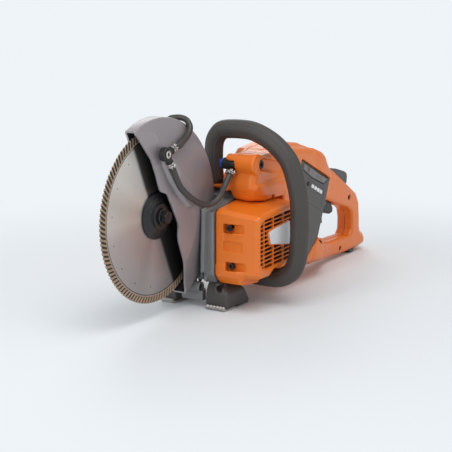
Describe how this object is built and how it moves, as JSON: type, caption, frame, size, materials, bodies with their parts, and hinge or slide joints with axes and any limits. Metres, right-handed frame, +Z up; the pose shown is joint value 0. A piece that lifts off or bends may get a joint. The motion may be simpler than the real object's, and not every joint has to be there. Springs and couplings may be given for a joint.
{
  "type": "battery cut-off saw",
  "caption": "Hand-held battery cut-off saw with guarded round cutting blade, wrap-round front handle, rear grip with trigger, side battery and water hoses.",
  "frame": {"origin": "centre of the bounding box's bottom face, on the ground the saw's feet and the back of its grip rest on", "axes": "+X forwards, from the rear grip to the cutting blade; +Y to the operator's left, which is the side with the blade's bolt and the battery; +Z up"},
  "size_m": [0.6576, 0.195, 0.2665],
  "materials": {
    "battery_plastic": "fine grained dark grey plastic",
    "black_plastic": "black plastic",
    "black_steel": "blackened steel",
    "blade_steel": "brushed steel core with a sintered rim",
    "blue_plastic": "blue plastic",
    "casting_paint": "fine textured grey paint on a casting",
    "circuit_board": "coated circuit board",
    "dark_rubber": "matt moulded rubber",
    "guard_paint": "satin grey paint on a cast light-metal guard",
    "latch_plastic": "mid grey plastic",
    "motor_iron": "machined dark iron",
    "motor_winding": "lacquered copper winding",
    "orange_plastic": "moulded polyamide, semi-gloss",
    "steel": "zinc plated steel",
    "white_plate": "plain white plate"
  },
  "bodies": {
    "chassis": {"belt_cover": "casting_paint", "blade_guard": "guard_paint", "control_board": "circuit_board", "cover_screw_lower": "black_steel", "cover_screw_upper": "black_steel", "damper_bolt": "black_steel", "drive_belt": "dark_rubber", "drive_housing": "casting_paint", "foot_bracket": "casting_paint", "front_foot_left": "battery_plastic", "front_foot_right": "battery_plastic", "front_handle": "dark_rubber", "grille_plate": "white_plate", "handle_screw": "black_steel", "hose_clamp_lower": "steel", "hose_clamp_upper": "steel", "hose_clamp_valve": "steel", "hose_lower": "dark_rubber", "hose_splitter": "black_plastic", "hose_upper": "dark_rubber", "housing_left": "orange_plastic", "housing_right": "orange_plastic", "lockout_pin": "steel", "lockout_spring": "steel", "motor_bearing_front": "steel", "motor_bearing_rear": "steel", "motor_cover": "orange_plastic", "motor_end_shield": "casting_paint", "motor_stator": "motor_winding", "rear_foot": "dark_rubber", "skid_plate_left": "steel", "skid_plate_right": "steel", "spindle_bearing_inner": "steel", "spindle_bearing_outer": "steel", "terminal_block": "black_plastic", "trigger_pin": "steel", "trigger_spring": "steel", "trigger_switch": "black_plastic", "water_valve": "black_plastic"},
    "spindle": {"diamond_blade": "blade_steel", "arbor_bushing": "steel", "outer_flange": "black_steel", "inner_flange": "black_steel", "spindle_shaft": "steel", "arbor_washer": "black_steel", "arbor_bolt": "steel", "spindle_pulley": "motor_iron"},
    "motor_rotor": {"rotor_shaft": "steel", "motor_rotor": "motor_iron", "motor_pulley": "motor_iron", "cooling_fan": "black_plastic"},
    "battery": {"battery_pack": "battery_plastic", "charge_display": "white_plate", "battery_terminals": "steel"},
    "catch": {"battery_catch": "latch_plastic"},
    "trigger": {"throttle_trigger": "black_plastic"},
    "lockout": {"lockout_lever": "battery_plastic"},
    "water_control": {"water_knob": "blue_plastic"},
    "lanyard": {"lanyard_ring": "steel"},
    "power_button": {"power_button": "dark_rubber"}
  },
  "joints": [
    {"name": "spindle_spin", "type": "hinge", "parent": "chassis", "child": "spindle", "pos_m": [0.2144, -0.04802, 0.138], "axis": [0, 1, 0], "continuous": true},
    {"name": "motor_spin", "type": "hinge", "parent": "chassis", "child": "motor_rotor", "pos_m": [0.0824, -0.04802, 0.092], "axis": [0, 1, 0], "continuous": true},
    {"name": "trigger_squeeze", "type": "hinge", "parent": "chassis", "child": "trigger", "pos_m": [-0.1476, -0.01303, 0.129], "axis": [0, 1, 0], "range_deg": [0, 9], "deforming": ["trigger_spring"]},
    {"name": "lockout_press", "type": "hinge", "parent": "chassis", "child": "lockout", "pos_m": [-0.1996, -0.01303, 0.137], "axis": [0, -1, 0], "range_deg": [0, 10], "deforming": ["lockout_spring"]},
    {"name": "battery_slide", "type": "slide", "parent": "chassis", "child": "battery", "axis": [0, 1, 0], "range_m": [0, 0.1]},
    {"name": "battery_catch_press", "type": "slide", "parent": "battery", "child": "catch", "axis": [0, -1, 0], "range_m": [0, 0.003]},
    {"name": "power_button_press", "type": "slide", "parent": "chassis", "child": "power_button", "axis": [0, 1, 0], "range_m": [0, 0.0015]},
    {"name": "water_knob_turn", "type": "hinge", "parent": "chassis", "child": "water_control", "pos_m": [0.0914, -0.02202, 0.194], "axis": [0, 1, 0], "range_deg": [0, 90]},
    {"name": "lanyard_ring_swing", "type": "hinge", "parent": "chassis", "child": "lanyard", "pos_m": [-0.3146, -0.01303, 0.0255], "axis": [0, 1, 0], "range_deg": [-35, 22]}
  ],
  "couplings": [
    {"joint": "motor_spin", "follows": "spindle_spin", "ratio": 2}
  ]
}
